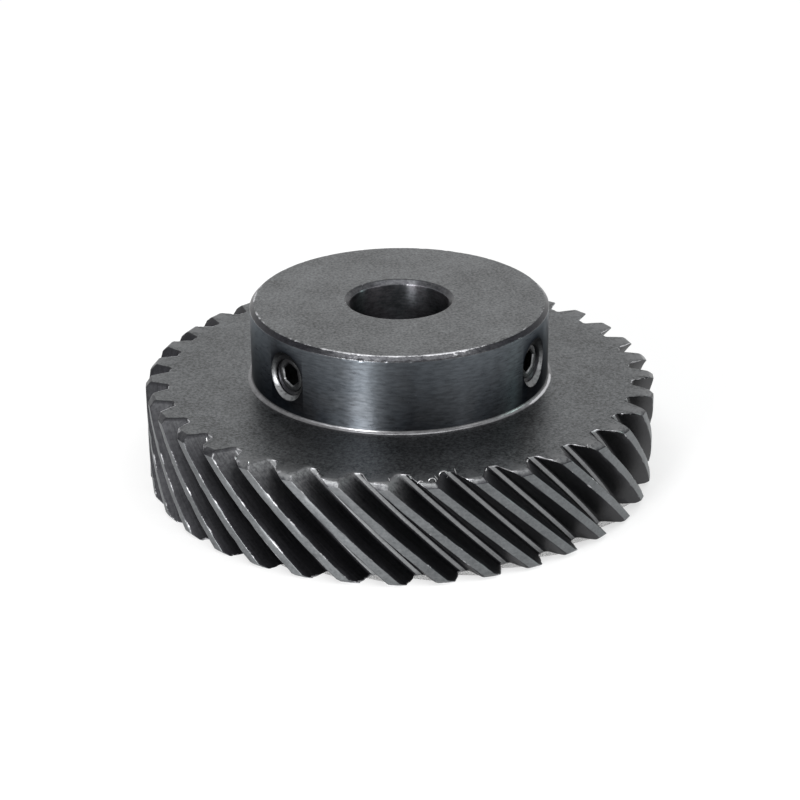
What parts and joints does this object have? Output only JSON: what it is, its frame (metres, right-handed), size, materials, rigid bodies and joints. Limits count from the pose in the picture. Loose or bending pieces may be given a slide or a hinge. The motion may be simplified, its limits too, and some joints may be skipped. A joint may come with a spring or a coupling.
{
  "type": "helical gear",
  "caption": "Left hand helical gear in blackened steel, with a hub on one side, a plain bore and socket set screws in the hub.",
  "frame": {"origin": "on the bore axis, in the flat back face that the gear rests on", "axes": "+Z along the bore axis, from the back face towards the hub; the set screws lie evenly on each side of -Y"},
  "size_m": [0.0772, 0.0772, 0.028],
  "materials": {
    "gear_steel": "black oxide on turned and hobbed steel, satin",
    "screw_steel": "black oxide, smooth"
  },
  "bodies": {
    "root": {"gear": "gear_steel", "set_screw_left": "screw_steel", "set_screw_right": "screw_steel"}
  },
  "joints": []
}
